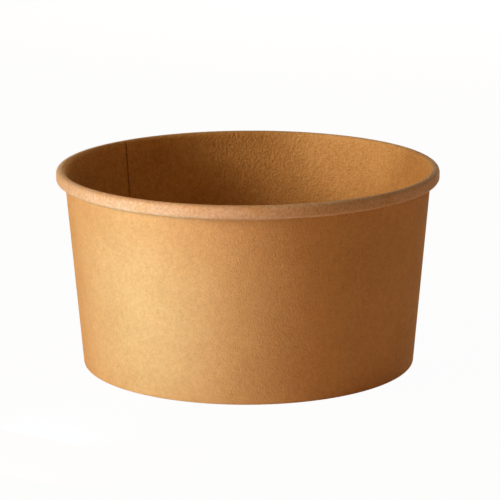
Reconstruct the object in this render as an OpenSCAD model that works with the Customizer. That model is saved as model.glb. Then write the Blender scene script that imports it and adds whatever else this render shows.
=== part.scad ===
// Paper salad bowl: a side wall wrapped from one fan of kraft board, with a rolled rim,
// a lapped side seam and a hemmed foot, and a base disc whose skirt is held in the hem.
// Millimetres, +Z up. The origin is the middle of the foot, at table level, and -Y is the front.

/* [Bowl] */
// Outside diameter of the rolled rim
rim_d = 150; // [140:1:190]
// Height from the table to the top of the rim
height = 78; // [40:1:120]
// Outside diameter of the foot, where the wall's outer face would meet the table
foot_d = 131; // [100:1:136]
// Thickness of the side wall's board
wall_t = 0.45; // [0.3:0.05:0.6]

/* [Rim] */
// Width of the rolled rim, from the wall's inner face to its outer face
roll_w = 3.6; // [3.2:0.1:4.6]
// Height of the rolled rim
roll_h = 5.2; // [4.4:0.1:8]
// Length of the rolled edge that is tucked up along the wall
tuck = 1.2; // [0.6:0.1:2]
// Room between the tucked edge and the wall
tuck_gap = 0.05; // [0.03:0.01:0.2]

/* [Foot and base] */
// Thickness of the base disc's board
base_t = 0.45; // [0.3:0.05:0.6]
// Height of the base's underside above the table
recess = 9; // [5:0.5:20]
// Inside radius of the bend between the base and its skirt
bend_r = 0.75; // [0.3:0.05:2]
// Inside radius of the two folds under the foot
fold_r = 0.06; // [0.03:0.01:0.12]
// Room between the top of the hem and the bend of the base
hem_room = 1.25; // [0.2:0.05:2]
// Room between the end of the skirt and the bottom of the hem
skirt_room = 0.3; // [0.1:0.05:1]
// Thickness of the sealing film between the layers of the foot
seal = 0.03; // [0.02:0.01:0.1]

/* [Side seam] */
// Direction of the seam's inside edge, from the right round to the back
seam_angle = 134.4; // [0:0.1:359.9]
// Width of the overlap
lap_w = 9; // [5:0.5:16]
// Width over which the outer end of the board steps out over the inner end
jog_w = 6; // [4:0.5:12]
// Depth of the step along the seam's inside edge
lap_step = 0.2; // [0.1:0.05:0.25]

/* [Hidden] */
$fn = 160;

// Colours of the board
wall_colour = "#c9925a";
base_colour = "#b98049";

// Reach of a cutter past the face that it cuts
past = 1;
// Angle between the points of an arc in the section
arc_step = 7.5;

rim_r = rim_d / 2;
foot_r = foot_d / 2;

// Upper bend of the rolled rim: it touches the top, the outside and the wall's inner face
top_r = roll_w / 2;
top_c = [rim_r - top_r, height - top_r];

// Lean of the wall: its outer face starts at the foot and its inner face runs into the upper bend
top_run = norm(top_c - [foot_r, 0]);
lean = atan2(top_c[0] - foot_r, top_c[1]) + asin((wall_t - top_r) / top_run);

// Lower bend of the rolled rim: it touches the outside, the underside and the wall's outer face
low_r = (cos(lean) * (rim_r - foot_r) - sin(lean) * (height - roll_h) - tuck_gap)
    / (1 + cos(lean) + sin(lean));
low_c = [rim_r - low_r, height - roll_h + low_r];

// Directions of the faces that lean with the wall, as angles in the section
outward = -lean;
inward = 180 - lean;

// Depths of the foot's layers, counted inwards from the wall's outer face
skirt_w = wall_t + seal;
hem_w = skirt_w + base_t + seal;
foot_w = hem_w + wall_t;

// Folds under the foot and bend of the base
fold_out_r = fold_r + wall_t;
fold_c = at(fold_out_r, fold_out_r);
hem_c = at(foot_w - fold_out_r, fold_out_r);
bend_out_r = bend_r + base_t;
floor_z = recess + base_t;
bend_c = at(skirt_w + bend_out_r, floor_z - bend_out_r);
hem_l = (recess - bend_r - hem_room - fold_out_r) / cos(lean);
skirt_z = wall_t + skirt_room;

// Angles that the seam's widths take up at the foot
lap_a = lap_w / foot_r * 180 / PI;
jog_a = jog_w / foot_r * 180 / PI;
// Direction that ends the jog's cutters, past the place where they run out of the wall
jog_end = seam_angle + 1.2 * jog_a;

// The outer layer of the seam runs from above the fold into the rolled rim
lap_low = fold_out_r;
lap_high = low_c[1];

// Point of the section at a height and at a depth from the wall's outer face
function at(depth, z) = [foot_r + (z * sin(lean) - depth) / cos(lean), z];

// Point at a distance and an angle from a centre
function polar(centre, r, angle) = centre + r * [cos(angle), sin(angle)];

// Points of an arc round a centre: its two ends, and the whole steps of the angle between them
function arc(centre, r, from, to) =
    let (way = sign(to - from),
         first = floor(way * from / arc_step) + 1,
         last = ceil(way * to / arc_step) - 1)
    [
        polar(centre, r, from),
        for (i = [first:last]) polar(centre, r, way * i * arc_step),
        polar(centre, r, to)
    ];

// A list in the other order
function reverse(points) = [for (i = [len(points) - 1:-1:0]) points[i]];

// A length along the leaning wall
function up(length) = length * [sin(lean), cos(lean)];

// One face of the side wall's board, at a depth below its inner face: from the tucked edge
// round the rolled rim, down the wall, under the foot and up the hem
function wall_face(depth) =
    let (rolled = concat(
            arc(low_c, low_r - depth, inward - 360, 0),
            arc(top_c, top_r - depth, 0, inward)),
         folded = concat(
            arc(fold_c, fold_r + depth, outward, -90),
            arc(hem_c, fold_r + depth, -90, inward - 360)),
         hem_end = folded[len(folded) - 1] + up(hem_l))
    concat([rolled[0] + up(tuck)], rolled, folded, [hem_end]);

// One face of the base's board, at a depth below its upper face: from the middle out to the
// bend and down the skirt
function base_face(depth) = concat(
    [[0, floor_z - depth]],
    arc(bend_c, bend_out_r - depth, 90, outward),
    [at(skirt_w + depth, skirt_z)]);

// The side wall in section
module wall_section() {
    polygon(concat(wall_face(0), reverse(wall_face(wall_t))));
}

// Half of the base in section
module base_section() {
    polygon(concat(base_face(0), reverse(base_face(base_t))));
}

// Everything between two directions, over the whole height
module sector(from, to) {
    reach = 2 * rim_r;
    translate([0, 0, -past]) linear_extrude(height + 2 * past)
        polygon([[0, 0], polar([0, 0], reach, from), polar([0, 0], reach, to)]);
}

// Solid cone whose face lies at one depth of the wall
module wall_cone(depth, low, high) {
    translate([0, 0, low]) cylinder(h = high - low, r1 = at(depth, low)[0], r2 = at(depth, high)[0]);
}

// Solid cone set aside so that its face stands out by a step at the seam's inside edge
// and comes back to the given depth of the wall at the end of the jog
module jog_cone(depth, step, low, high) {
    aside = polar([0, 0], step / sin(jog_a), seam_angle + jog_a - 90);
    function r_at(z) = norm(polar([0, 0], at(depth, z)[0] + step, seam_angle) - aside);
    translate([aside[0], aside[1], low]) cylinder(h = high - low, r1 = r_at(low), r2 = r_at(high));
}

// Outer layer of the seam, which overlaps half of the wall's thickness below it
module seam_layer() {
    bed = wall_t / 2;
    rotate_extrude(angle = lap_a, start = seam_angle - lap_a)
        polygon([at(-wall_t, lap_low), at(-wall_t, lap_high), at(bed, lap_high), at(bed, lap_low)]);
    intersection() {
        sector(seam_angle, jog_end);
        difference() {
            jog_cone(0, wall_t, lap_low, lap_high);
            wall_cone(bed, lap_low - past, lap_high + past);
        }
    }
}

// Hollow that the step leaves beside the seam's inside edge
module seam_hollow() {
    intersection() {
        sector(seam_angle, jog_end);
        jog_cone(wall_t, lap_step, bend_c[1], height + past);
    }
}

// Side wall: wrapped, lapped, rolled at the top and hemmed at the foot
module side_wall() {
    color(wall_colour) difference() {
        union() {
            rotate_extrude() wall_section();
            seam_layer();
        }
        seam_hollow();
    }
}

// Base: a disc with a turned-down skirt, sealed into the hem
module base_disc() {
    color(base_colour) rotate_extrude() base_section();
}

side_wall();
base_disc();
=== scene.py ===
# %% [markdown]
# # A paper salad bowl
# The bowl is two pieces of kraft board: a side wall, wrapped from one fan-shaped blank with its
# top edge rolled into a rim, and a base disc that is sealed into the folded foot of the wall.
# The solids of both are loaded first as a fixed frame. Everything below is made in that frame,
# in metres, so nothing has to be fitted afterwards.

# %% Load the frame
import math

import bmesh
import bpy
import numpy as np
from mathutils import Color, Matrix, Vector


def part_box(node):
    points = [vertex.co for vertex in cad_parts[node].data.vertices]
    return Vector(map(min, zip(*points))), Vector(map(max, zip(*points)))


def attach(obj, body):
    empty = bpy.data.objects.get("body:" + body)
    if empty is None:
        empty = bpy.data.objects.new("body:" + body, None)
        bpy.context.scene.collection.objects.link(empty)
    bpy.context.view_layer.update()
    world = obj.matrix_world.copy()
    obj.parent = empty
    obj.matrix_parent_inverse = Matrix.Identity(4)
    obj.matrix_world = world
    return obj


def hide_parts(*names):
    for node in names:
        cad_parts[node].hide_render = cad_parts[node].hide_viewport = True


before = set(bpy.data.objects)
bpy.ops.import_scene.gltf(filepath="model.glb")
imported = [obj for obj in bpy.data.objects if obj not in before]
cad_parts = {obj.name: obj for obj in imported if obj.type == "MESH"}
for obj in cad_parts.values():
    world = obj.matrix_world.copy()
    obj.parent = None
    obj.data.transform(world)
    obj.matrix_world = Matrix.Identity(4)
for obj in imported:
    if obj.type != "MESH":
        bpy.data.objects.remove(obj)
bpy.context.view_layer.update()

# %% [markdown]
# ## Sizes
# The rim, the height and the floor are read from the frame. The thickness of the board, the roll
# and the folds are the maker's sizes: a cup machine rolls and folds them the same way on any bowl.
# All of them could be typed into the mesh as coordinates, but named sizes can be changed later.

# %% Sizes of the bowl
MM = 0.001
rim_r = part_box("side_wall")[1].x
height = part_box("side_wall")[1].z
floor_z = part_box("base_disc")[1].z
foot_r = 65.5 * MM
board = 0.45 * MM
seal = 0.03 * MM
roll_w = 3.6 * MM
roll_h = 5.2 * MM
tuck = 1.2 * MM
tuck_gap = 0.05 * MM
fold_r = 0.06 * MM
bend_r = 0.75 * MM
hem_room = 1.25 * MM
skirt_room = 0.3 * MM
recess = floor_z - board


def in_mm(length):
    """A length in millimetres, rounded for printing."""
    return round(length / MM, 2)


print("rim radius", in_mm(rim_r), "height", in_mm(height), "floor at", in_mm(floor_z), "mm")

# %% [markdown]
# ## The lean of the wall and the centres of the bends
# In section the board is a chain of straight runs and round bends that touch each other. The wall
# starts at the foot and runs into the upper bend of the roll, which fixes how far it leans. Points
# of the section are pairs: the distance from the axis, and the height.

# %% Lean and bend centres
top_r = roll_w / 2
top_c = np.array([rim_r - top_r, height - top_r])
lean = math.atan2(top_c[0] - foot_r, top_c[1])
lean += math.asin((board - top_r) / math.hypot(top_c[0] - foot_r, top_c[1]))
inward = math.pi - lean
outward = -lean
down = -math.pi / 2
full_turn = 2 * math.pi

low_reach = math.cos(lean) * (rim_r - foot_r) - math.sin(lean) * (height - roll_h) - tuck_gap
low_r = low_reach / (1 + math.cos(lean) + math.sin(lean))
low_c = np.array([rim_r - low_r, height - roll_h + low_r])


def wall_point(depth, z):
    """Point at a height, and at a depth inwards from the wall's outer face."""
    return np.array([foot_r + (z * math.sin(lean) - depth) / math.cos(lean), z])


skirt_depth = board + seal
foot_depth = skirt_depth + board + seal + board
fold_out_r = fold_r + board
fold_c = wall_point(fold_out_r, fold_out_r)
hem_c = wall_point(foot_depth - fold_out_r, fold_out_r)
hem_top = recess - bend_r - hem_room
bend_out_r = bend_r + board
bend_c = wall_point(skirt_depth + bend_out_r, floor_z - bend_out_r)
print("the wall leans", round(math.degrees(lean), 2), "degrees")
print("the roll's lower bend has a radius of", in_mm(low_r), "mm")

# %% [markdown]
# ## The board as a row of stations
# The real wall is one sheet of even thickness from the roll to the hem. It could be drawn as two
# outlines, one for each face, but the thickness would soon drift. So it is one line of stations on
# the food side, each with the direction straight through the board, and the other face is one
# thickness away. Each station also says what it belongs to, so later steps know roll from wall.

# %% Stations along the side wall
roll_steps = 18
fold_steps = 5
# Shares of a run's length, closer together where the seam fades out or a bend begins
wall_shares = [0.012, 0.024, 0.036, 0.048, 0.1, 0.3, 0.5, 0.7, 0.86, 0.97, 0.985]
hem_shares = [0.1, 0.2, 0.5, 0.8, 0.9, 1.0]


def unit(angle):
    """Direction at an angle in the section."""
    return np.array([math.cos(angle), math.sin(angle)])


def bend(zone, centre, r, start, stop, side, count):
    """Stations round a bend. side is -1 where the food side is the outside of the bend."""
    angles = np.linspace(start, stop, count)
    return [(zone, centre + r * unit(angle), side * unit(angle)) for angle in angles]


def run(zone, start, stop, through, shares):
    """Stations on a straight run, at shares of its length."""
    return [(zone, start + (stop - start) * share, through) for share in shares]


def wall_stations():
    """The side wall from the tucked edge of the roll to the top of the hem."""
    roll_low = bend("roll", low_c, low_r, inward - full_turn, 0, side=-1, count=roll_steps)
    roll_top = bend("roll", top_c, top_r, 0, inward, side=-1, count=roll_steps)
    fold = bend("fold", fold_c, fold_r, outward, down, side=1, count=fold_steps)
    fold += bend("fold", hem_c, fold_r, down, inward - full_turn, side=1, count=fold_steps)
    up = np.array([math.sin(lean), math.cos(lean)])
    tucked = ("roll", roll_low[0][1] + tuck * up, roll_low[0][2])
    top_end, foot_end, hem_start = roll_top[-1], fold[0], fold[-1]
    wall = run("wall", top_end[1], foot_end[1], top_end[2], wall_shares)
    hem_run = (hem_top - hem_start[1][1]) / math.cos(lean)
    hem_end = hem_start[1] + hem_run * up
    hem = run("hem", hem_start[1], hem_end, hem_start[2], hem_shares)
    return [tucked] + roll_low + roll_top + wall + fold + hem


print("stations along the wall:", len(wall_stations()))

# %% [markdown]
# ## Shader and geometry sums in plain Python
# Both Geometry Nodes and materials do their sums with Math nodes. Wired one by one they are hard to
# read, so one small class wraps a socket and lets Python's own operators add the nodes. Every other
# node comes from one method: its type, its settings, and what goes into its sockets.

# %% A wire that takes part in sums
class Wire:
    """One output socket that takes part in sums: each operator adds a Math node."""

    def __init__(self, sketch, socket):
        self.sketch = sketch
        self.socket = socket

    def sum(self, operation, first, second=0.0):
        """A Math node on two values."""
        return self.sketch.add("ShaderNodeMath", {"operation": operation}, {0: first, 1: second})

    def __add__(self, other):
        return self.sum("ADD", self, other)

    def __radd__(self, other):
        return self.sum("ADD", other, self)

    def __sub__(self, other):
        return self.sum("SUBTRACT", self, other)

    def __rsub__(self, other):
        return self.sum("SUBTRACT", other, self)

    def __mul__(self, other):
        return self.sum("MULTIPLY", self, other)

    def __rmul__(self, other):
        return self.sum("MULTIPLY", other, self)

    def __truediv__(self, other):
        return self.sum("DIVIDE", self, other)

    def __pow__(self, other):
        return self.sum("POWER", self, other)

    def __abs__(self):
        return self.sum("ABSOLUTE", self)

    def __gt__(self, other):
        return self.sum("GREATER_THAN", self, other)

    def __lt__(self, other):
        return self.sum("LESS_THAN", self, other)

    def one(self, operation):
        """A Math node that takes this value alone, such as SINE or FLOOR."""
        return self.sum(operation, self)

    def out(self, name):
        """Another output of the same node."""
        return Wire(self.sketch, self.socket.node.outputs[name])


# %% A sketch of nodes
class Sketch:
    """A node tree that is filled from Python."""

    def __init__(self, tree):
        self.tree = tree

    def add(self, kind, settings=None, inputs=None, output=0):
        """A node of one kind, with its settings, and a value or a wire for its sockets."""
        node = self.tree.nodes.new(kind)
        for name, value in (settings or {}).items():
            setattr(node, name, value)
        for key, value in (inputs or {}).items():
            if isinstance(value, Wire):
                self.tree.links.new(value.socket, node.inputs[key])
            else:
                node.inputs[key].default_value = value
        return Wire(self, node.outputs[output] if node.outputs else None)

    def between(self, value, low, high, at_low=0.0, at_high=1.0):
        """A value eased from one level to another as it goes from low to high."""
        settings = {"interpolation_type": "SMOOTHSTEP", "clamp": True}
        inputs = {"Value": value, "From Min": low, "From Max": high}
        inputs.update({"To Min": at_low, "To Max": at_high})
        return self.add("ShaderNodeMapRange", settings, inputs)

    def split(self, vector):
        """The three numbers of a vector, as the outputs X, Y and Z."""
        return self.add("ShaderNodeSeparateXYZ", {}, {0: vector})

    def joined(self, x, y, z):
        """A vector from three numbers."""
        return self.add("ShaderNodeCombineXYZ", {}, {0: x, 1: y, 2: z})


methods = [name for name in vars(Sketch) if not name.startswith("_")]
print("methods of a sketch:", methods)

# %% [markdown]
# ## What each point of the outline carries
# A cup machine leaves its marks in certain places only. The seam's step shows on the wall and
# fades out on the roll, the rolling rubs the outside of the rim, and the crimp is pressed into the
# middle of the hem. The rubbed outside of the rim also gets a painted sheen, as a paler colour.
# They could be painted on later, but the outline already knows its zones, so every point carries
# its shares of these marks, as attributes of a small mesh of loose points.

# %% Shares of the marks
lap_on_hem = 0.2
lap_roll_fade = 1.0 * MM
lap_fold_fade = 1.5 * MM
step_on_roll = 0.12
# Where the rim's rub and painted sheen begin on the roll, and how soon they are full
rub_and_sheen_start = 0.6 * top_r
rub_and_sheen_width = 0.7 * top_r
crimp_low = 1.5 * MM
crimp_high = hem_top - 0.4 * MM


def lap_share(zone, z):
    """How much of the seam's outer layer shows outside: all on the wall, none in the roll."""
    if zone == "hem":
        return lap_on_hem
    if zone != "wall":
        return 0.0
    into_roll = np.clip((low_c[1] - z) / lap_roll_fade, 0, 1)
    out_of_fold = np.clip((z - fold_out_r) / lap_fold_fade, 0, 1)
    return float(into_roll * out_of_fold)


def step_share(zone, r):
    """How much of the seam's step shows on the food side: all on the wall, less over the roll."""
    if zone == "wall":
        return 1.0
    if zone == "roll":
        return float(np.clip((top_c[0] - r) / top_r, step_on_roll, 1.0))
    return 0.0


def rub_and_sheen_share(zone, r):
    """How much the face is rubbed paler and given a painted sheen: wholly outside, not on the roll's
    inner side.
    """
    if zone != "roll":
        return 0.0
    return float(np.clip((r - top_c[0] + rub_and_sheen_start) / rub_and_sheen_width, 0.0, 1.0))


def crimp_share(zone, food, z):
    """Whether the crimp reaches this point: only the bare side of the hem, away from its edges."""
    pressed = zone == "hem" and not food and crimp_low < z < crimp_high
    return 1.0 if pressed else 0.0


print("the crimp runs from", in_mm(crimp_low), "to", in_mm(crimp_high), "mm above the table")

# %% The outline as a small mesh
CARRIED = ("food_side", "rolled", "shift", "crimp")


def outline_object(name, points, through, values):
    """A mesh of loose points: the outline in order, with what each point carries."""
    mesh = bpy.data.meshes.new(name)
    mesh.from_pydata([(r, 0.0, z) for r, z in points], [], [])
    ways = np.array([(r, 0.0, z) for r, z in through], dtype=np.float32)
    way = mesh.attributes.new("through", "FLOAT_VECTOR", "POINT")
    way.data.foreach_set("vector", ways.ravel())
    for key in CARRIED:
        carried = mesh.attributes.new(key, "FLOAT", "POINT")
        carried.data.foreach_set("value", np.array(values[key], dtype=np.float32))
    piece = bpy.data.objects.new(name, mesh)
    bpy.context.scene.collection.objects.link(piece)
    print(name, "has", len(points), "points")
    return piece


def wall_outline():
    """Both faces of the side wall, once round: the food side going down, the outside coming back."""
    stations = wall_stations()
    faces = [(1.0, zone, point, way) for zone, point, way in stations]
    for zone, point, way in reversed(stations):
        faces.append((0.0, zone, point + board * way, way))
    faces.append(faces[0])
    values = {key: [] for key in CARRIED}
    for food, zone, (r, z), _ in faces:
        values["food_side"].append(food)
        values["rolled"].append(rub_and_sheen_share(zone, r))
        values["shift"].append(step_share(zone, r) if food else lap_share(zone, z))
        values["crimp"].append(crimp_share(zone, food, z))
    points = [face[2] for face in faces]
    through = [face[3] for face in faces]
    return outline_object("wall_outline", points, through, values)


# %% [markdown]
# ## Sweeping the section round the axis
# A spin of the outline would give a plain solid of revolution. The real wall is a wrapped sheet, so
# its side seam has to show: inside, a fine step where the inner end of the blank stops, and
# outside, the edge of the other end, which lies over it. A Geometry Nodes tree does both. It starts
# from a flat grid, one column for each direction round the bowl and one row for each point of the
# outline, moves every point to its place, and shifts the points near the seam through the board.
# Columns are drawn together at the two edges of the seam, so that the steps there are crisp.
# The same tree presses the crimp into the hem, and a little unevenness into the roll.

# %% Inputs of the tree
BOARD_INPUTS = [
    ("Outline", "Object"), ("Points", "Int"), ("Columns", "Int"), ("Seam angle", "Float"),
    ("Lap angle", "Float"), ("Jog angle", "Float"), ("Lap thickness", "Float"),
    ("Step depth", "Float"), ("Crimp count", "Float"), ("Crimp depth", "Float"),
    ("Unevenness", "Float"), ("Outside", "Material"), ("Lining", "Material")]


def new_tree(name, inputs):
    """A Geometry Nodes tree with one geometry output and named inputs."""
    tree = bpy.data.node_groups.new(name, "GeometryNodeTree")
    tree.interface.new_socket("Geometry", in_out="OUTPUT", socket_type="NodeSocketGeometry")
    for label, kind in inputs:
        tree.interface.new_socket(label, in_out="INPUT", socket_type="NodeSocket" + kind)
    sketch = Sketch(tree)
    return sketch, sketch.add("NodeGroupInput")


def named(sketch, name, data_type="FLOAT"):
    """An attribute of the mesh, by its name."""
    return sketch.add("GeometryNodeInputNamedAttribute", {"data_type": data_type}, {"Name": name})


print("the sweep has", len(BOARD_INPUTS), "named inputs")

# %% The seam, the crimp and the unevenness as sums
pinch_width = math.radians(3)
pinch_power = 2.5
past_edge = 1e-4
noise_middle = 0.5
# Angles round the bowl where the painted shadow beside the seam's step begins, is full and fades out
line_before = 0.15 * MM / rim_r
line_full = 0.25 * MM / rim_r
line_after = 0.75 * MM / rim_r
waves_round = 5.0


def draw_together(angle, width, power):
    """Pulls the columns within a width of an edge towards it."""
    pulled = angle.one("SIGN") * width * (abs(angle) / width) ** power
    near = abs(angle) < width
    return angle + near * (pulled - angle)


def seam_angles(column, lap):
    """Angles of a column from the seam's inside edge, and from the edge of its outer layer."""
    from_seam = draw_together(column * full_turn, pinch_width, pinch_power)
    from_lap = draw_together(from_seam + lap, pinch_width, pinch_power)
    return from_lap - lap, from_lap


def seam_shift(sketch, given, from_seam, from_lap, food):
    """The way through the board: the step on the food side, and the outer layer outside."""
    jog = sketch.between(from_seam, 0.0, given.out("Jog angle"), at_low=1.0, at_high=0.0)
    inner_step = jog * (from_seam > past_edge) * given.out("Step depth")
    outer_layer = jog * (from_lap > past_edge) * given.out("Lap thickness")
    return food * inner_step + (1 - food) * outer_layer


def seam_shadow(sketch, from_seam):
    """A fine painted shadow beside the step, where the cut end of the board stands in shade."""
    start = sketch.between(from_seam, -line_before, 0.0)
    end = sketch.between(from_seam, line_full, line_after, at_low=1.0, at_high=0.0)
    return start * end


def crimp_press(given, angle):
    """Round ribs of the crimp, from 0 to the full depth."""
    wave = 0.5 + 0.5 * (angle * given.out("Crimp count")).one("COSINE")
    return wave * given.out("Crimp depth")


def roll_sag(sketch, given, angle, level):
    """The slight waves that rolling leaves in the lower half of the rim."""
    ring = sketch.joined(angle.one("COSINE"), angle.one("SINE"), 0.0)
    settings = {"noise_dimensions": "3D"}
    inputs = {"Vector": ring, "Scale": waves_round, "Detail": 2.0}
    waves = sketch.add("ShaderNodeTexNoise", settings, inputs) - noise_middle
    low_half = sketch.between(level, height - roll_h, height - top_r, at_low=1.0, at_high=0.0)
    return waves * given.out("Unevenness") * low_half


print("columns are drawn together within", round(math.degrees(pinch_width), 1), "degrees of the seam")

# %% The tree that sweeps the board
merge_distance = 1e-6
sharp_edge = math.radians(40)


def finished_board(sketch, mesh, given):
    """Closes the swept grid, keeps its sharp edges sharp, and gives each side its finish."""
    inputs = {"Geometry": mesh, "Distance": merge_distance}
    mesh = sketch.add("GeometryNodeMergeByDistance", {}, inputs)
    mesh = sketch.add("GeometryNodeSetShadeSmooth", {"domain": "FACE"}, {"Geometry": mesh})
    sharp = sketch.add("GeometryNodeInputMeshEdgeAngle") > sharp_edge
    inputs = {"Geometry": mesh, "Selection": sharp, "Shade Smooth": False}
    mesh = sketch.add("GeometryNodeSetShadeSmooth", {"domain": "EDGE"}, inputs)
    mesh = sketch.add("GeometryNodeRealizeInstances", {}, {"Geometry": mesh})
    inputs = {"Geometry": mesh, "Material": given.out("Outside")}
    mesh = sketch.add("GeometryNodeSetMaterial", {}, inputs)
    on_food_side = named(sketch, "food_side") > 0.5
    inputs = {"Geometry": mesh, "Selection": on_food_side, "Material": given.out("Lining")}
    return sketch.add("GeometryNodeSetMaterial", {}, inputs)


def swept_board_tree():
    """A board swept round the axis from its outline, with its seam, crimp and unevenness."""
    sketch, given = new_tree("swept_board", BOARD_INPUTS)
    mesh = sketch.add("GeometryNodeMeshGrid", {}, {
        "Size X": 1.0, "Size Y": 1.0,
        "Vertices X": given.out("Columns") + 1, "Vertices Y": given.out("Points")})
    place = sketch.split(sketch.add("GeometryNodeInputPosition"))
    row = ((place.out("Y") + 0.5) * (given.out("Points") - 1) + 0.5).one("FLOOR")
    outline = sketch.add("GeometryNodeObjectInfo", {}, {"Object": given.out("Outline")}, "Geometry")

    def from_outline(value, data_type="FLOAT"):
        settings = {"data_type": data_type, "domain": "POINT"}
        inputs = {"Geometry": outline, "Value": value, "Index": row}
        return sketch.add("GeometryNodeSampleIndex", settings, inputs)

    point = from_outline(sketch.add("GeometryNodeInputPosition"), "FLOAT_VECTOR")
    through = from_outline(named(sketch, "through", "FLOAT_VECTOR"), "FLOAT_VECTOR")
    point, through = sketch.split(point), sketch.split(through)
    food, rolled, shift, crimp = (from_outline(named(sketch, key)) for key in CARRIED)

    from_seam, from_lap = seam_angles(place.out("X"), given.out("Lap angle"))
    angle = from_seam + given.out("Seam angle")
    moved = shift * seam_shift(sketch, given, from_seam, from_lap, food)
    moved = moved - crimp * crimp_press(given, angle)
    sag = rolled * roll_sag(sketch, given, angle, point.out("Z"))
    radius = point.out("X") + moved * through.out("X")
    level = point.out("Z") + moved * through.out("Z") + sag
    target = sketch.joined(radius * angle.one("COSINE"), radius * angle.one("SINE"), level)

    # The step's shade is painted on the food side as a dark line, stored for the lining
    seam_line = shift * food * seam_shadow(sketch, from_seam)
    for key, value in (("food_side", food), ("rolled", rolled), ("seam_line", seam_line)):
        settings = {"data_type": "FLOAT", "domain": "POINT"}
        inputs = {"Geometry": mesh, "Name": key, "Value": value}
        mesh = sketch.add("GeometryNodeStoreNamedAttribute", settings, inputs)
    inputs = {"Geometry": mesh, "Position": target}
    mesh = sketch.add("GeometryNodeSetPosition", {}, inputs)
    sketch.add("NodeGroupOutput", {}, {"Geometry": finished_board(sketch, mesh, given)})
    return sketch.tree


swept_board = swept_board_tree()
print("swept_board has", len(swept_board.nodes), "nodes")

# %% [markdown]
# ## Kraft board
# Kraft board is brown, unbleached fibre. Close to, it has three things at once: cloudy tone where
# the fibres lie thick or thin, fine short fibres that run every way, and a few dark specks. A
# picture of board could be laid on the bowl, but it would blur close to and stretch on the roll.
# So the patterns are noise in space, counted in millimetres, and keep their size on every face.

# %% Colours and patterns of kraft
def srgb(red, green, blue):
    """A colour as it is read on a screen, from 0 to 255, made linear for the shader."""
    levels = [level / 255 for level in (red, green, blue)]
    return (*Color(levels).from_srgb_to_scene_linear(), 1.0)


def new_material(name):
    """An empty material, and the sketch that fills it."""
    material = bpy.data.materials.new(name)
    material.use_nodes = True
    material.node_tree.nodes.clear()
    return material, Sketch(material.node_tree)


def millimetres(sketch):
    """Object coordinates counted in millimetres, so that a scale of 1 is one blotch a millimetre."""
    place = sketch.add("ShaderNodeTexCoord", {}, {}, "Object")
    return sketch.add("ShaderNodeVectorMath", {"operation": "SCALE"}, {0: place, "Scale": 1 / MM})


def blotches(sketch, place, per_mm, detail=2.0, roughness=0.55):
    """Soft noise with so many blotches a millimetre."""
    inputs = {"Vector": place, "Scale": per_mm, "Detail": detail, "Roughness": roughness}
    return sketch.add("ShaderNodeTexNoise", {"noise_dimensions": "3D"}, inputs)


def spread(sketch, pattern):
    """Noise keeps near its middle. This spreads it over the whole way from 0 to 1."""
    return sketch.between(pattern, low=0.3, high=0.7)


def mix_colour(sketch, share, first, second):
    """The second colour laid over the first by a share."""
    # A Mix node keeps sockets for every data type: inputs 6 and 7 and output 2 are its colours
    settings = {"data_type": "RGBA", "blend_type": "MIX"}
    return sketch.add("ShaderNodeMix", settings, {0: share, 6: first, 7: second}, 2)


print("white on a screen is", srgb(255, 255, 255), "in the shader")

# %% Fibres and specks
fibre_width = 0.02
fibre_gaps = 0.7


def fibres(sketch, place, per_mm, seed):
    """Hair-like lines: the level line of a noise, broken up by a second one."""
    inputs = {0: place, 1: (seed, 2 * seed, 3 * seed)}
    away = sketch.add("ShaderNodeVectorMath", {"operation": "ADD"}, inputs)
    level = abs(blotches(sketch, away, per_mm, detail=1.0) - noise_middle)
    line = sketch.between(level, 0.0, fibre_width, at_low=1.0, at_high=0.0)
    patches = blotches(sketch, away, per_mm * fibre_gaps, detail=1.0)
    return line * sketch.between(patches, low=0.5, high=0.62)


def specks(sketch, place, per_mm, size, rarity):
    """A few small dots: the middles of some cells of a Voronoi pattern."""
    inputs = {"Vector": place, "Scale": per_mm}
    cells = sketch.add("ShaderNodeTexVoronoi", {"feature": "F1"}, inputs)
    chosen = sketch.split(cells.out("Color")) > rarity
    return sketch.between(cells.out("Distance"), size / 2, size, at_low=1.0, at_high=0.0) * chosen


def fine_grain(sketch, place):
    """Light and dark grains about as wide as a bundle of fibres."""
    return spread(sketch, blotches(sketch, place, per_mm=1.1, detail=3.0))


def kraft_tone(sketch, place, pale, middle, dark, grain_share):
    """The colour of the fibre, cloudy and grainy, with pale and dark fibres and dark specks."""
    cloud_share = 0.25
    formation_share = 0.25
    pale_fibre_share = 0.35
    dark_fibre_share = 0.4
    speck_share = 0.5
    clouds = spread(sketch, blotches(sketch, place, per_mm=0.05))
    formation = spread(sketch, blotches(sketch, place, per_mm=0.45, detail=3.0))
    grain = fine_grain(sketch, place)
    share = cloud_share * clouds + formation_share * formation + grain_share * grain
    tone = mix_colour(sketch, share, pale, middle)
    pale_fibres = fibres(sketch, place, per_mm=0.8, seed=5.0)
    tone = mix_colour(sketch, pale_fibre_share * pale_fibres, tone, pale)
    dark_fibres = fibres(sketch, place, per_mm=0.9, seed=11.0)
    tone = mix_colour(sketch, dark_fibre_share * dark_fibres, tone, dark)
    dark_specks = specks(sketch, place, per_mm=0.3, size=0.12, rarity=0.93)
    return mix_colour(sketch, speck_share * dark_specks, tone, dark)


print("a fibre's line takes up", fibre_width, "of the noise's range")

# %% [markdown]
# ## The two finishes
# A film of clear plastic seals the food side, and that side is rolled outwards over the rim. So the
# rim and the inside share one finish, the lining, and the outside of the wall has another, bare and
# matt. One material with a mask would do, but two are easier to read. On the rim the rolling has
# rubbed the lining duller, in patches, and pressed its peel flatter. Its paler colour there is partly
# that rub and partly a painted sheen. Beside the seam's step the lining has a painted shadow.
# Which points belong to the rim is known from the attribute that the outline has carried there.

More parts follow.
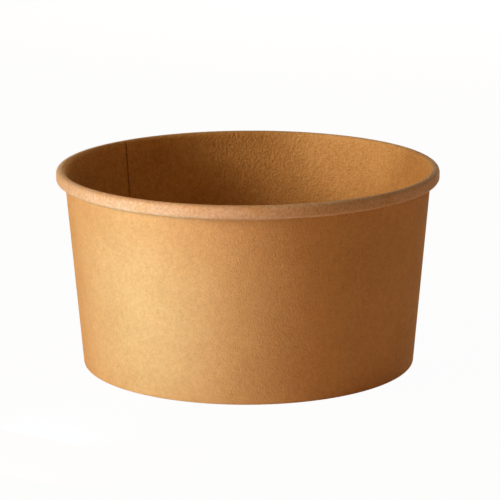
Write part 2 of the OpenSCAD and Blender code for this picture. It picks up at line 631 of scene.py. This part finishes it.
# %% The two finishes
def finish_material(sketch, colour, roughness, relief, bump, others):
    """A Principled shader: what varies is linked, what is the same all over is set on its socket."""
    inputs = {"Strength": 1.0, "Distance": bump, "Height": relief}
    normal = sketch.add("ShaderNodeBump", {}, inputs)
    inputs = {"Base Color": colour, "Roughness": roughness, "Normal": normal, **others}
    shader = sketch.add("ShaderNodeBsdfPrincipled", {}, inputs)
    sketch.add("ShaderNodeOutputMaterial", {}, {"Surface": shader})


def carried_by(sketch, name):
    """An attribute of the piece, as a number."""
    return sketch.add("ShaderNodeAttribute", {"attribute_name": name}, {}, "Fac")


def kraft_outside():
    """Bare kraft: matt, with a fine tooth of fibres."""
    least_rough = 0.66
    rough_range = 0.2
    material, sketch = new_material("kraft_outside")
    place = millimetres(sketch)
    colour = kraft_tone(sketch, place, pale=srgb(220, 174, 118), middle=srgb(196, 148, 93),
                        dark=srgb(140, 92, 50), grain_share=0.36)
    relief = blotches(sketch, place, per_mm=1.4, detail=4.0, roughness=0.65)
    roughness = least_rough + rough_range * blotches(sketch, place, per_mm=0.6)
    finish_material(sketch, colour, roughness, relief, bump=0.3 * MM,
                    others={"Specular IOR Level": 0.06})
    return material


def kraft_lining():
    """Kraft under a clear film: the film's fine peel inside, and a rim paler from rub and painted
    sheen.
    """
    least_rough = 0.5
    rough_range = 0.14
    rubbed_rough = 0.15
    peel_rubbed_off = 0.65
    painted_seam_shade_share = 0.5
    material, sketch = new_material("kraft_lining")
    place = millimetres(sketch)
    rolled = carried_by(sketch, "rolled")
    seam_line = carried_by(sketch, "seam_line")
    colour = kraft_tone(sketch, place, pale=srgb(220, 168, 102), middle=srgb(186, 132, 72),
                        dark=srgb(130, 84, 42), grain_share=0.45)
    patches = blotches(sketch, place, per_mm=0.12, detail=4.0)
    patches = sketch.between(patches, low=0.3, high=0.5, at_low=0.6, at_high=0.9)
    grain = fine_grain(sketch, place)
    # The rim's paler colour: partly the rub of rolling, partly a painted sheen
    rubbed_and_sheen = mix_colour(sketch, grain, srgb(226, 192, 157), srgb(204, 167, 131))
    colour = mix_colour(sketch, rolled * patches, colour, rubbed_and_sheen)
    # A painted shadow beside the seam's step, in dark kraft brown
    colour = mix_colour(sketch, painted_seam_shade_share * seam_line, colour, srgb(84, 50, 22))
    peel = blotches(sketch, place, per_mm=1.05, detail=3.0) * (1 - peel_rubbed_off * rolled)
    film = blotches(sketch, place, per_mm=0.3)
    roughness = least_rough + rough_range * film + rubbed_rough * rolled
    others = {"Specular IOR Level": 0.05, "Coat Weight": 0.06 * rolled, "Coat Roughness": 0.45}
    finish_material(sketch, colour, roughness, peel, bump=0.7 * MM, others=others)
    return material


outside = kraft_outside()
lining = kraft_lining()
print("finishes:", outside.name, "and", lining.name)

# %% [markdown]
# ## The side wall
# The wall is the blank that the machine wraps, laps, rolls and hems. It is one sheet, so it is one
# mesh here. The tree's inputs are set by their identifiers, before the object is first evaluated.
# The result is then taken as a plain mesh, and its volume shows that its faces point outwards.

# %% Make a piece with a tree
def make_piece(name, tree, values):
    """Runs a tree on an empty object and keeps what it makes as a plain mesh."""
    maker = bpy.data.objects.new(name + "_maker", bpy.data.meshes.new(name + "_maker"))
    bpy.context.scene.collection.objects.link(maker)
    modifier = maker.modifiers.new("tree", "NODES")
    modifier.node_group = tree
    for item in tree.interface.items_tree:
        if item.in_out == "INPUT":
            modifier[item.identifier] = values[item.name]
    depsgraph = bpy.context.evaluated_depsgraph_get()
    mesh = bpy.data.meshes.new_from_object(maker.evaluated_get(depsgraph), depsgraph=depsgraph)
    mesh.name = name
    if mesh.materials[0] is None:
        mesh.materials.pop(index=0)
    maker.modifiers.remove(modifier)
    bpy.data.objects.remove(maker)
    piece = bpy.data.objects.new(name, mesh)
    bpy.context.scene.collection.objects.link(piece)
    return piece


def measure(piece):
    """Prints a piece's triangles, its open edges and its volume."""
    shape = bmesh.new()
    shape.from_mesh(piece.data)
    open_edges = sum(1 for edge in shape.edges if not edge.is_manifold)
    triangles = sum(len(face.verts) - 2 for face in shape.faces)
    volume = shape.calc_volume(signed=True) / MM ** 3
    shape.free()
    print(piece.name, "triangles", triangles, "open edges", open_edges)
    print(piece.name, "volume", round(volume, 1), "mm3")


# %% The side wall
seam_angle = math.radians(134.4)
lap_angle = 9 * MM / foot_r
jog_angle = 6 * MM / foot_r
outline = wall_outline()
wall = make_piece("bowl_wall", swept_board, {
    "Outline": outline, "Points": len(outline.data.vertices), "Columns": 720,
    "Seam angle": seam_angle, "Lap angle": lap_angle, "Jog angle": jog_angle,
    "Lap thickness": board, "Step depth": 0.28 * MM,
    "Crimp count": 120.0, "Crimp depth": 0.12 * MM, "Unevenness": 0.3 * MM,
    "Outside": outside, "Lining": lining})
bpy.data.objects.remove(outline)
measure(wall)
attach(wall, "root")
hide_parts("side_wall")

# %% [markdown]
# ## The base
# The base is a second blank: a disc with its edge bent down into a skirt. A cylinder would look the
# same from above, but not from below, where the skirt runs down into the hem. Its outline starts
# and ends on the axis, so the same sweep closes it at the middle by merging each end to one point.

# %% The base disc
ring_shares = [0.0, 0.25, 0.5, 0.75]
bend_steps = 9


def base_outline():
    """Both faces of the base: the underside going out to the skirt, the upper side coming back."""
    stations = run("disc", np.array([0.0, floor_z]), np.array([bend_c[0], floor_z]),
                   unit(down), ring_shares)
    stations += bend("disc", bend_c, bend_out_r, -down, outward, side=-1, count=bend_steps)
    skirt_end = wall_point(skirt_depth, board + skirt_room)
    stations.append(("disc", skirt_end, -unit(outward)))
    faces = [(0.0, point + board * way, way) for _, point, way in stations]
    faces += [(1.0, point, way) for _, point, way in reversed(stations)]
    values = {key: [0.0] * len(faces) for key in CARRIED}
    values["food_side"] = [face[0] for face in faces]
    points = [face[1] for face in faces]
    through = [face[2] for face in faces]
    return outline_object("base_outline", points, through, values)


outline = base_outline()
base = make_piece("bowl_base", swept_board, {
    "Outline": outline, "Points": len(outline.data.vertices), "Columns": 360,
    "Seam angle": 0.0, "Lap angle": lap_angle, "Jog angle": jog_angle,
    "Lap thickness": 0.0, "Step depth": 0.0,
    "Crimp count": 0.0, "Crimp depth": 0.0, "Unevenness": 0.0,
    "Outside": outside, "Lining": lining})
bpy.data.objects.remove(outline)
measure(base)
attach(base, "root")
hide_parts("base_disc")

# %% [markdown]
# ## The floor
# The bowl stands on a plain white floor. More light on a white floor would make it white, but it
# would bleach the bowl as well. So the floor is white to the camera and in reflections, with a trace
# of its own shading that keeps a faint shadow. For the light it is a pale, warm surface that throws
# some light back up.

# %% The floor
def seen_directly(sketch):
    """1 for rays from the camera, in a reflection or through glass too, and 0 for other light."""
    path = sketch.add("ShaderNodeLightPath")
    return path.out("Is Camera Ray") + path.out("Is Glossy Ray") + path.out("Is Transmission Ray")


white = (1.0, 1.0, 1.0, 1.0)
warm_paper = (0.8, 0.63, 0.48, 1.0)
white_share = 0.97
floor_half = 6.0


def white_floor():
    """A surface that is white to look at and like warm paper to the light."""
    material, sketch = new_material("white_floor")
    paper = sketch.add("ShaderNodeBsdfDiffuse", {}, {"Color": warm_paper})
    glow = sketch.add("ShaderNodeEmission", {}, {"Color": white, "Strength": 1.0})
    shown = sketch.add("ShaderNodeMixShader", {}, {0: white_share, 1: paper, 2: glow})
    seen = seen_directly(sketch)
    surface = sketch.add("ShaderNodeMixShader", {}, {0: seen, 1: paper, 2: shown})
    sketch.add("ShaderNodeOutputMaterial", {}, {"Surface": surface})
    return material


floor_mesh = bpy.data.meshes.new("floor")
signs = [(-1, -1), (1, -1), (1, 1), (-1, 1)]
corners = [(x * floor_half, y * floor_half, 0.0) for x, y in signs]
floor_mesh.from_pydata(corners, [], [range(len(corners))])
floor_mesh.materials.append(white_floor())
floor = bpy.data.objects.new("floor", floor_mesh)
bpy.context.scene.collection.objects.link(floor)
print("the floor is", 2 * floor_half, "m wide")

# %% [markdown]
# ## The light
# One large, soft lamp lights the bowl from the left, and the wall turns into a warm shade on the
# right. A change of the picture's tone curve could steepen that turn, but then no colour would look
# as it is written. So two small lamps stand close to the front left and brighten the wall there.
# One is warm and one is cool, and together they are nearly white. The cool one ends a little
# earlier round the wall, so the edge of the light turns warm. A weak lamp fills the right side, a
# narrow soft spot reaches the inside on the right, and a lamp behind lights the back, without a
# glint on the rim. The room itself gives a dim, warm light from all sides, and is white to look
# at, like the floor.

# %% Lamps
bowl_middle = Vector((0.0, 0.0, height / 2))


def hang_lamp(data, place, target, power, colour):
    """Puts a lamp at a place, turned to a target, and keeps it out of the picture."""
    data.energy = power
    data.color = colour
    lamp = bpy.data.objects.new(data.name, data)
    lamp.location = place
    lamp.rotation_euler = (place - target).to_track_quat("Z", "Y").to_euler()
    lamp.visible_camera = False
    bpy.context.scene.collection.objects.link(lamp)
    print(lamp.name, "at", tuple(round(v, 2) for v in place), "with", power, "W")
    return lamp


def soft_lamp(name, azimuth, distance, z, width, tall, power, colour):
    """A flat lamp that looks at the bowl. Azimuth 0 is the camera's side, and more is to the left."""
    turn = math.radians(azimuth)
    place = Vector((-math.sin(turn) * distance, -math.cos(turn) * distance, z))
    data = bpy.data.lights.new(name, "AREA")
    data.shape = "RECTANGLE"
    data.size = width
    data.size_y = tall
    return hang_lamp(data, place, bowl_middle, power, colour)


def spot_lamp(name, azimuth, distance, rise, cone, target, power, colour):
    """A lamp with a narrow, soft cone, aimed at one place."""
    turn, climb = math.radians(azimuth), math.radians(rise)
    level = math.cos(climb)
    way = Vector((-math.sin(turn) * level, -math.cos(turn) * level, math.sin(climb)))
    data = bpy.data.lights.new(name, "SPOT")
    data.spot_size = math.radians(cone)
    data.spot_blend = 1.0
    return hang_lamp(data, target + distance * way, target, power, colour)


soft_lamp("side_lamp", azimuth=70, distance=1.34, z=0.56, width=0.5, tall=0.5,
          power=13.9, colour=(1.0, 0.86, 0.71))
soft_lamp("strip_lamp", azimuth=30, distance=0.16, z=0.06, width=0.04, tall=0.13,
          power=0.061, colour=(1.0, 0.37, 0.0))
soft_lamp("near_lamp", azimuth=36, distance=0.13, z=0.03, width=0.04, tall=0.09,
          power=0.063, colour=(0.03, 0.62, 1.0))
soft_lamp("fill_lamp", azimuth=-63, distance=1.34, z=0.08, width=0.8, tall=0.12,
          power=1.065, colour=(1.0, 0.22, 0.12))
back_lamp = soft_lamp("back_lamp", azimuth=-168, distance=1.3, z=0.18, width=0.5, tall=0.2,
                      power=12.5, colour=(1.0, 0.93, 0.83))
back_lamp.visible_glossy = False

far_side = math.radians(37)
inside_r = 71.5 * MM
above_rim = 16 * MM
inside_right = Vector((inside_r * math.sin(far_side), inside_r * math.cos(far_side),
                       height + above_rim))
spot_lamp("inside_spot", azimuth=35, distance=0.9, rise=25, cone=5.6, target=inside_right,
          power=13.4, colour=(0.83, 0.88, 1.0))

# %% The room
def white_room(strength, tint):
    """A world that is white to look at and gives a dim light with a tint."""
    world = bpy.data.worlds.new("white_room")
    bpy.context.scene.world = world
    world.use_nodes = True
    world.node_tree.nodes.clear()
    sketch = Sketch(world.node_tree)
    dim = sketch.add("ShaderNodeBackground", {}, {"Color": (*tint, 1.0), "Strength": strength})
    bright = sketch.add("ShaderNodeBackground", {}, {"Color": white, "Strength": 1.0})
    seen = seen_directly(sketch)
    surface = sketch.add("ShaderNodeMixShader", {}, {0: seen, 1: dim, 2: bright})
    sketch.add("ShaderNodeOutputWorld", {}, {"Surface": surface})
    print("the room's light has a strength of", strength)


white_room(strength=0.162, tint=(1.0, 0.78, 0.44))

# %% [markdown]
# ## The camera
# The camera stands in front of the bowl and looks down on it a little. Its angle, distance and lens
# were worked out from the rim's oval, which is wide and shallow from here, and from how much the
# foot is smaller than the rim. The picture is 500 pixels square.

# %% The camera
picture = 500.0
sensor = 36.0
focal_px = 2452.0
camera_rise = math.radians(13.757)
camera_roll = -0.0043
camera_far = 970.1 * MM
aim_px = (248.22, 261.97)
nearest = 10 * MM

back = Vector((0.0, -math.cos(camera_rise), math.sin(camera_rise)))
level_right = Vector((1.0, 0.0, 0.0))
level_up = back.cross(level_right)
right = math.cos(camera_roll) * level_right + math.sin(camera_roll) * level_up
up = back.cross(right)
eye = bowl_middle + camera_far * back

camera_data = bpy.data.cameras.new("camera")
camera_data.sensor_width = sensor
camera_data.lens = focal_px / picture * sensor
camera_data.shift_x = 0.5 - aim_px[0] / picture
camera_data.shift_y = aim_px[1] / picture - 0.5
camera_data.clip_start = nearest
camera = bpy.data.objects.new("camera", camera_data)
turned = Matrix((right, up, back)).transposed().to_4x4()
camera.matrix_world = Matrix.Translation(eye) @ turned
bpy.context.scene.collection.objects.link(camera)
bpy.context.scene.camera = camera
bpy.context.scene.view_settings.view_transform = "Standard"
print("camera lens", round(camera_data.lens, 1), "mm at", tuple(round(v, 3) for v in eye))

# %% [markdown]
